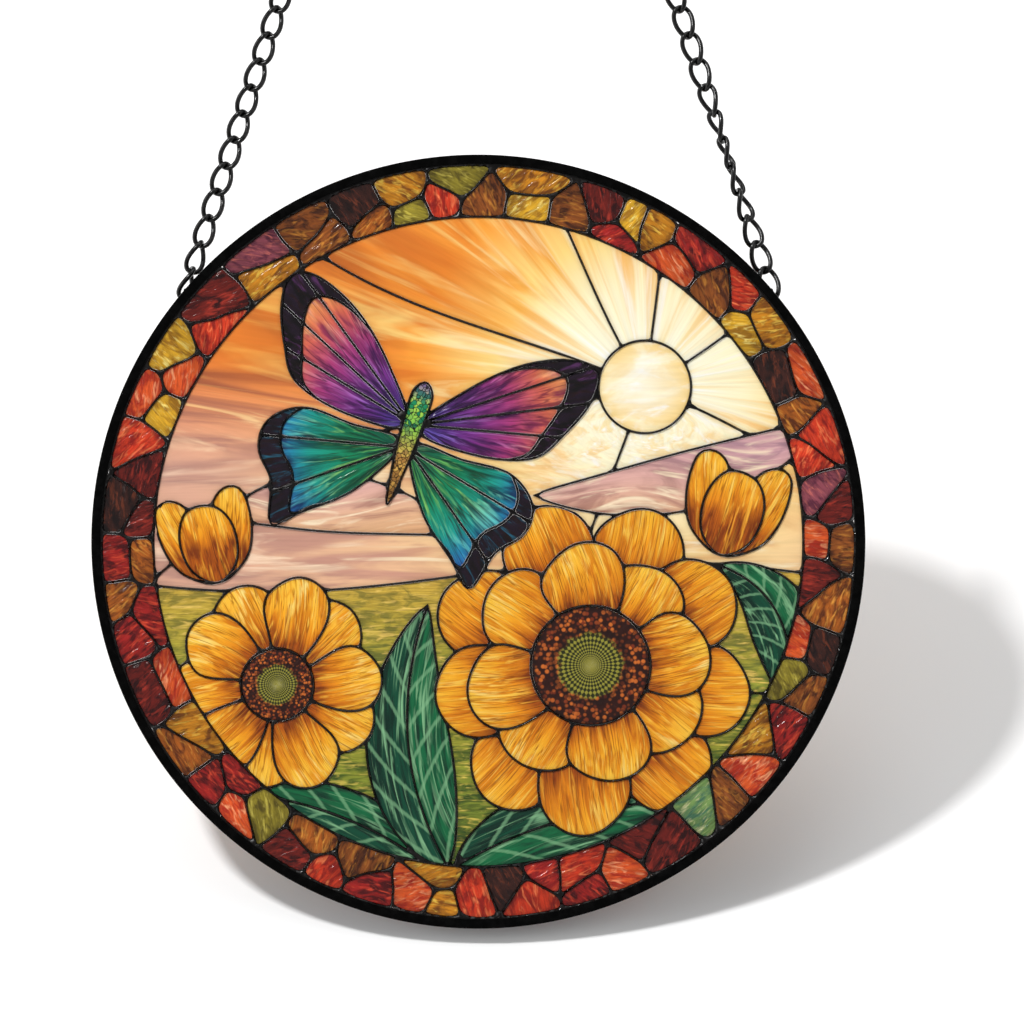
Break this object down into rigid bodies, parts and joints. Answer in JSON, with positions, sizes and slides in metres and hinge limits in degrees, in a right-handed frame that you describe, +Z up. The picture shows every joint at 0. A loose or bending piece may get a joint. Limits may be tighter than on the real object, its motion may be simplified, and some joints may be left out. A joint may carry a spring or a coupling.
{
  "type": "stained glass suncatcher",
  "caption": "Round leaded stained glass panel in a black metal rim, with a flower and butterfly picture, hung by two chains from one ring.",
  "frame": {"origin": "centre of the hanging ring, on which the whole thing hangs", "axes": "+Z up, the face of the glass looks along -Y, +X to the right as seen from the front"},
  "size_m": [0.2, 0.0093, 0.4057],
  "materials": {
    "black_metal": "gloss",
    "leading": "satin",
    "stone_glass": "gloss",
    "petal_glass": "gloss",
    "stamen_glass": "gloss",
    "leaf_glass": "gloss",
    "ground_glass": "gloss",
    "cloud_glass": "gloss",
    "sky_glass": "gloss",
    "sun_glass": "gloss",
    "forewing_glass": "gloss",
    "hindwing_glass": "gloss",
    "body_glass": "gloss"
  },
  "bodies": {
    "root": {"rim": "black_metal", "leading": "leading", "butterfly_body": "body_glass", "right_forewing": "forewing_glass", "left_forewing": "forewing_glass", "right_hindwing": "hindwing_glass", "left_hindwing": "hindwing_glass", "large_poppy_stamens": "stamen_glass", "large_poppy_inner_petal_1": "petal_glass", "large_poppy_inner_petal_3": "petal_glass", "large_poppy_inner_petal_5": "petal_glass", "large_poppy_inner_petal_7": "petal_glass", "large_poppy_inner_petal_2": "petal_glass", "large_poppy_inner_petal_4": "petal_glass", "large_poppy_inner_petal_6": "petal_glass", "large_poppy_inner_petal_8": "petal_glass", "large_poppy_outer_petal_1": "petal_glass", "large_poppy_outer_petal_3": "petal_glass", "large_poppy_outer_petal_5": "petal_glass", "large_poppy_outer_petal_7": "petal_glass", "large_poppy_outer_petal_9": "petal_glass", "large_poppy_outer_petal_2": "petal_glass", "large_poppy_outer_petal_4": "petal_glass", "large_poppy_outer_petal_6": "petal_glass", "large_poppy_outer_petal_8": "petal_glass", "left_poppy_stamens": "stamen_glass", "left_poppy_petals": "petal_glass", "right_bloom_petals": "petal_glass", "left_bloom_petals": "petal_glass", "centre_leaf": "leaf_glass", "lower_leaf": "leaf_glass", "left_leaf": "leaf_glass", "right_leaf": "leaf_glass", "sun": "sun_glass", "meadow": "ground_glass", "hills": "ground_glass", "hills_b": "ground_glass", "hills_c": "ground_glass", "left_cloud": "cloud_glass", "right_cloud": "cloud_glass", "right_cloud_b": "cloud_glass", "sky_pane_1": "sky_glass", "sky_pane_2": "sky_glass", "sky_pane_3": "sky_glass", "sky_pane_4": "sky_glass", "sky_pane_5": "sky_glass", "sky_pane_5_b": "sky_glass", "sky_pane_6": "sky_glass", "sky_pane_6_b": "sky_glass", "sky_pane_7": "sky_glass", "sky_pane_7_b": "sky_glass", "border_top": "stone_glass", "border_left": "stone_glass", "border_bottom": "stone_glass", "border_right": "stone_glass", "eye_left": "black_metal", "eye_right": "black_metal", "chain_left": "black_metal", "chain_right": "black_metal", "hanging_ring": "black_metal"}
  },
  "joints": []
}
